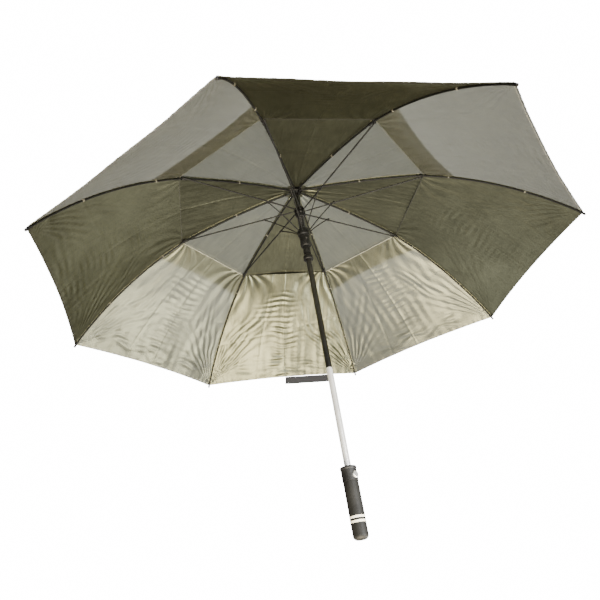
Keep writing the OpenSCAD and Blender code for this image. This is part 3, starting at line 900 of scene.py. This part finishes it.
for k in RIBS:
    cap = sharpen(join_parts(f"tip_cap_{k}", tip_cap(k), BLACK_PLASTIC))
    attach(cap, f"rib_end_{k}")
    metal("flex_crimp", "rib_end", k, [
        collar_ring(k, 1 + 7 * MM / OUTER_LENGTH, 2.7 * MM, 9 * MM),
        collar_ring(k, 1 + 15 * MM / OUTER_LENGTH, 2.35 * MM, 6 * MM)])
    metal("rib_clip", "rib", k, [
        collar_ring(k, 1 - 13 * MM / INNER_LENGTH, 3.15 * MM, 3 * MM),
        placed(rivet(2.2 * MM, 1 * MM), cross_matrix(k, RIB_JOINT, -2.7 * MM, -1))])
    heads = [placed(rivet(1.9 * MM, 0.9 * MM), cross_matrix(k, RIB_JOINT, PIN_Y)),
             placed(rivet(1.7 * MM, 0.8 * MM), cross_matrix(k, on_stretcher(STRUT_AT), CLIP_Y))]
    for aside in (-4 * MM, 4 * MM):
        spot = cross_matrix(k, on_stretcher(STRUT_AT + aside), CLIP_Y)
        heads.append(placed(rivet(0.9 * MM, 0.5 * MM), spot))
    metal("stretcher_rivets", "stretcher", k, heads)
    spot = cross_matrix(k, on_stretcher(STRUT_AT), STRUT_FACE_Y, -1)
    metal("strut_rivet", "strut", k, [placed(rivet(1.5 * MM, 0.6 * MM), spot)])


# ---- runner, sleeve and spring


def ring(radius, z, height, stand, edge=0.25 * MM):
    """A raised ring round a turned part."""
    root, top = radius - 0.3 * MM, z + height
    outline = [(root, z), (radius + stand - edge, z), (radius + stand, z + edge),
               (radius + stand, top - edge), (radius + stand - edge, top), (root, top)]
    return lathe(outline, 96, closed=True)


def turned_rings(name, body, rings):
    """Raised rings round a black plastic part, joined into one piece that rides its body."""
    piece = sharpen(join_parts(name, [ring(*each) for each in rings], BLACK_PLASTIC))
    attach(piece, body)


def coil(low, high, mean, wire, turns):
    """A compression spring with closed ends."""
    steps = 40
    path = []
    for i in range(turns * steps + 1):
        share = i / (turns * steps)
        rise = share
        for end in (0.06, 0.94):
            rise += 0.35 * (share - end) * math.exp(-((share - end) / 0.05) ** 2)
        a = 2 * math.pi * i / steps
        z = low + (high - low) * min(max(rise, 0), 1)
        path.append(Vector((mean * math.cos(a), mean * math.sin(a), z)))
    return tube(path, wire, 10)


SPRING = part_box("opening_spring")
WIRE_R = 0.75 * MM
spring = join_parts("coil_spring", [
    coil(SPRING[0].z + WIRE_R, SPRING[1].z - WIRE_R, 8.4 * MM, WIRE_R, 18)], SPRING_STEEL)
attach(spring, "runner")
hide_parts("opening_spring")
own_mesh(spring)

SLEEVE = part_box("push_sleeve")
BARREL_R = 13 * MM
NECK_R = 9 * MM
BARREL_LOW = SLEEVE[1].z - 53 * MM
turned_rings("sleeve_rings", "push_sleeve", [
    (BARREL_R, BARREL_LOW + 5 * MM, 1.6 * MM, 0.5 * MM),
    (BARREL_R, BARREL_LOW + 9 * MM, 1.6 * MM, 0.5 * MM),
    (BARREL_R, BARREL_LOW + 13 * MM, 1.6 * MM, 0.5 * MM),
    (BARREL_R, BARREL_LOW + 29 * MM, 2.4 * MM, 0.6 * MM),
    (NECK_R, SLEEVE[0].z + 22 * MM, 1.4 * MM, 0.5 * MM),
    (NECK_R, SLEEVE[0].z + 27 * MM, 1.4 * MM, 0.5 * MM)])
SCREW_AZIMUTH = math.radians(-62)
screw_place = Matrix.Translation((BARREL_R - 0.2 * MM, 0, BARREL_LOW + 21 * MM))
screw_spot = Matrix.Rotation(SCREW_AZIMUTH, 4, "Z") @ screw_place @ Matrix.Rotation(math.pi / 2, 4, "Y")
screw = sharpen(join_parts("sleeve_screw", [placed(rivet(2.3 * MM, 1.2 * MM), screw_spot)], SPRING_STEEL))
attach(screw, "push_sleeve")

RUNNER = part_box("runner")
RUNNER_R = 10.9 * MM
turned_rings("runner_rings", "runner", [
    (RUNNER_R, RUNNER[0].z + 1 * MM, 1.4 * MM, 0.5 * MM),
    (RUNNER_R, RUNNER[0].z + 4 * MM, 1.4 * MM, 0.5 * MM)])


# ---- handle and top

# Radius, and height above the notch's top, in millimetres.
ROSETTE_OUTLINE = [(7.3, 0.1), (15, -0.9), (23.5, -3.6), (30.5, -5.7), (31.2, -6.4),
                   (30.4, -6.5), (23.4, -4.5), (15, -1.9), (7.3, -0.7)]
ROSETTE_PLEATS = 24


def crown_rosette(top):
    """The pleated disc of cloth that covers the gore points where the cloth meets the notch."""
    points, faces = lathe([(r * MM, top + z * MM) for r, z in ROSETTE_OUTLINE], 160, closed=True)
    for p in points:
        reach = p.xy.length / (24 * MM)
        p.z += 0.35 * MM * reach * math.cos(ROSETTE_PLEATS * math.atan2(p.y, p.x))
    rosette = sharpen(join_parts("crown_rosette", [(points, faces)], DARK_OUTER))
    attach(rosette, "frame")


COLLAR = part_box("handle_collar")
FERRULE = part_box("ferrule")
GRIP_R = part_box("grip")[1].x
turned_rings("collar_seam", "frame", [(GRIP_R + 0.3 * MM, COLLAR[0].z + 0.4 * MM, 1.0 * MM, 0.5 * MM)])
crown_rosette(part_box("top_notch")[1].z)
turned_rings("ferrule_rings", "frame", [
    (8.9 * MM, FERRULE[0].z + 17.5 * MM, 1.2 * MM, 0.4 * MM),
    (8.5 * MM, FERRULE[0].z + 20.5 * MM, 1.2 * MM, 0.4 * MM)])


# ---- closure strap

STRAP_W = 25 * MM
STRAP_L = 160 * MM
STRAP_T = 1.0 * MM
STRAP_PLACE = 1.962  # just above the hem, counted along a rib
STRAP_SIDE = -86 * MM
STRAP_DROP = 7 * MM
STRAP_TILT = math.radians(3)
STRAP_LIFT = 5.6 * MM
PATCH_EDGE = 4 * MM
PATCH_L = 28 * MM
PATCH_T = 1.1 * MM


def strap_matrix():
    """The strap's corner: X across it, away from the hem, Y along it and Z off its outside."""
    x, z = rib_line(STRAP_PLACE, 3.2 * MM)
    start = (float(x) * math.cos(RIB_STEP / 2) + 1 * MM, STRAP_SIDE, float(z) - STRAP_DROP)
    slope = OUTER_ARC[3] + OUTER_ARC[4]
    turn = Matrix.Rotation(STRAP_TILT, 4, "Z") @ Matrix.Rotation(slope, 4, "Y")
    corner = Matrix.Translation((0, -STRAP_L / 2, 0))
    return Matrix.Rotation(azimuth(5) + RIB_STEP / 2, 4, "Z") @ Matrix.Translation(start) @ turn @ corner


def strap_height(x, y):
    """How the soft band waves and curls off its flat shape."""
    curl = 1.6 * MM * float(smooth(y, 0.1, 0.16)) * math.sin(x / STRAP_W * math.pi)
    return STRAP_LIFT + 0.9 * MM * float(wobble(x, y, 0.07, 2100)) * min(1, x / (8 * MM)) + curl


def strap_band(name, low, high, left, right, thick, lift, materials):
    """A closed band over part of the strap, from low to high along it and left to right across it."""
    long, wide = 50, 12
    verts = []
    place = strap_matrix()
    for side in (1, -1):
        for i in range(long):
            y = low + (high - low) * i / (long - 1)
            for j in range(wide):
                x = left + (right - left) * j / (wide - 1)
                edge = min(j, wide - 1 - j, i, long - 1 - i)
                fat = thick / 2 * (0.5 if edge == 0 else 1)
                verts.append(place @ Vector((x, y, strap_height(x, y) + lift + side * fat)))
    faces = []
    count = long * wide
    for i in range(long - 1):
        for j in range(wide - 1):
            a = i * wide + j
            faces.append((a, a + 1, a + wide + 1, a + wide))
            faces.append((a + count, a + wide + count, a + wide + 1 + count, a + 1 + count))
    rim = rim_of_grid(long, wide)
    for i, a in enumerate(rim):
        b = rim[(i + 1) % len(rim)]
        faces.append((a, a + count, b + count, b))
    return new_object(name, verts, faces, materials)


strap = strap_band("strap", 0, STRAP_L, 0, STRAP_W, STRAP_T, 0, [STRAP_CLOTH])
patch_top = STRAP_L - PATCH_EDGE
patch = strap_band("strap_patch", patch_top - PATCH_L, patch_top, PATCH_EDGE, STRAP_W - PATCH_EDGE,
                   PATCH_T, STRAP_T, [DARK_THREAD])
for piece in (strap, patch):
    fold_with_lower_cloth(piece, 5)
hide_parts("closure_strap")


# ---- finishes on the CAD's own parts

FINISHES = {
    "upper_shaft": BLACK_TUBE, "lower_shaft": SILVER_TUBE, "top_notch": BLACK_PLASTIC,
    "ferrule": BLACK_PLASTIC, "runner": BLACK_PLASTIC, "push_sleeve": BLACK_PLASTIC, "grip": GRIP_FOAM,
    "grip_bands": PALE_RING, "handle_collar": COLLAR_PLASTIC, "button": BUTTON_METAL,
}
for name in ("rib_inner", "rib_outer", "stretcher", "strut"):
    for k in RIBS:
        FINISHES[f"{name}_{k}"] = BLACK_ROD
for name, finish in FINISHES.items():
    node = frame["nodes"][name]
    node.data.materials.clear()
    node.data.materials.append(finish)


# ---- stage, light and camera

FLOOR_Z = -1.1
FLOOR_HALF = 6


def pale_floor():
    """A wide pale floor below the umbrella, which gives off a little light of its own."""
    material, tree, main, add = shader("floor_paint")
    place = add("ShaderNodeTexCoord")
    cloud = add("ShaderNodeTexNoise", Scale=3.0, Detail=4.0)
    tree.links.new(place.outputs["Object"], cloud.inputs["Vector"])
    paint = ramp_between(tree, add, cloud.outputs["Fac"], (0.8, 0.8, 0.79), (0.84, 0.84, 0.83))
    tree.links.new(paint, main.inputs["Base Color"])
    main.inputs["Roughness"].default_value = 0.8
    main.inputs["Emission Color"].default_value = (1, 1, 0.98, 1)
    main.inputs["Emission Strength"].default_value = 0.2
    corners = [(x * FLOOR_HALF, y * FLOOR_HALF, FLOOR_Z) for x, y in ((-1, -1), (1, -1), (1, 1), (-1, 1))]
    new_object("floor", corners, [(0, 1, 2, 3)], [material])


def area_light(name, place, target, size, power, colour, spread):
    """A round lamp at a place, aimed at a target; power is in watts and spread in degrees."""
    light = bpy.data.lights.new(name, "AREA")
    light.shape = "DISK"
    light.size = size
    light.energy = power
    light.color = colour
    light.spread = math.radians(spread)
    lamp = bpy.data.objects.new(name, light)
    lamp.location = place
    lamp.rotation_euler = (Vector(target) - Vector(place)).to_track_quat("-Z", "Y").to_euler()
    lamp.visible_camera = False
    bpy.context.scene.collection.objects.link(lamp)


def studio_world(seen, lighting):
    """White as the camera sees it, and gentler as a light."""
    world = bpy.data.worlds.new("studio")
    world.use_nodes = True
    bpy.context.scene.world = world
    tree = world.node_tree
    soft = tree.nodes["Background"]
    soft.inputs["Color"].default_value = (1, 1, 1, 1)
    soft.inputs["Strength"].default_value = lighting
    bright = tree.nodes.new("ShaderNodeBackground")
    bright.inputs["Color"].default_value = (1, 1, 1, 1)
    bright.inputs["Strength"].default_value = seen
    path = tree.nodes.new("ShaderNodeLightPath")
    mix = tree.nodes.new("ShaderNodeMixShader")
    tree.links.new(path.outputs["Is Camera Ray"], mix.inputs[0])
    tree.links.new(soft.outputs["Background"], mix.inputs[1])
    tree.links.new(bright.outputs["Background"], mix.inputs[2])
    tree.links.new(mix.outputs["Shader"], tree.nodes["World Output"].inputs["Surface"])


pale_floor()
studio_world(seen=16.0, lighting=0.05)
area_light("key", place=(0.1, -0.4, -1.04), target=(0.1, -0.1, 1), size=1.4, power=130,
           colour=(1, 0.865, 0.63), spread=160)
area_light("key_side", place=(1.0, 0.75, -1.04), target=(0.2, 0.3, 0.6), size=0.8, power=38,
           colour=(1, 0.94, 0.8), spread=118)
area_light("top", place=(0, 0, 3.0), target=(0, 0, 0.7), size=1.6, power=46,
           colour=(0.97, 0.99, 1), spread=90)
area_light("front", place=(2.2, -2.3, -0.1), target=(0, 0, 0.1), size=1.2, power=62,
           colour=(1, 1, 1), spread=120)
area_light("low_front", place=(0.2, -2.7, -0.6), target=(0, 0.3, 0.6), size=1.0, power=25,
           colour=(1, 0.98, 0.9), spread=90)
area_light("far_left", place=(-2.0, 2.0, -0.75), target=(0.55, 0.2, 0.65), size=1.2, power=3,
           colour=(1, 1, 0.96), spread=90)
area_light("far", place=(0.45, 2.9, -0.3), target=(-0.45, -0.2, 0.65), size=1.0, power=0.8,
           colour=(1, 1, 0.98), spread=60)
area_light("grip_side", place=(1.2, -0.45, -0.25), target=(0, 0, -0.03), size=0.4, power=2.6,
           colour=(1, 1, 1), spread=40)

CAMERA_PLACE = (0.1587, -1.2131, -0.2208)
CAMERA_TURN = (119.938, 8.525, 14.156)
CAMERA_LENS = 34.68
camera_data = bpy.data.cameras.new("camera")
camera_data.sensor_width = 36
camera_data.lens = CAMERA_LENS
camera_data.clip_start = 0.01
camera = bpy.data.objects.new("camera", camera_data)
camera.location = CAMERA_PLACE
camera.rotation_euler = [math.radians(a) for a in CAMERA_TURN]
bpy.context.scene.collection.objects.link(camera)
bpy.context.scene.camera = camera

bpy.context.view_layer.update()
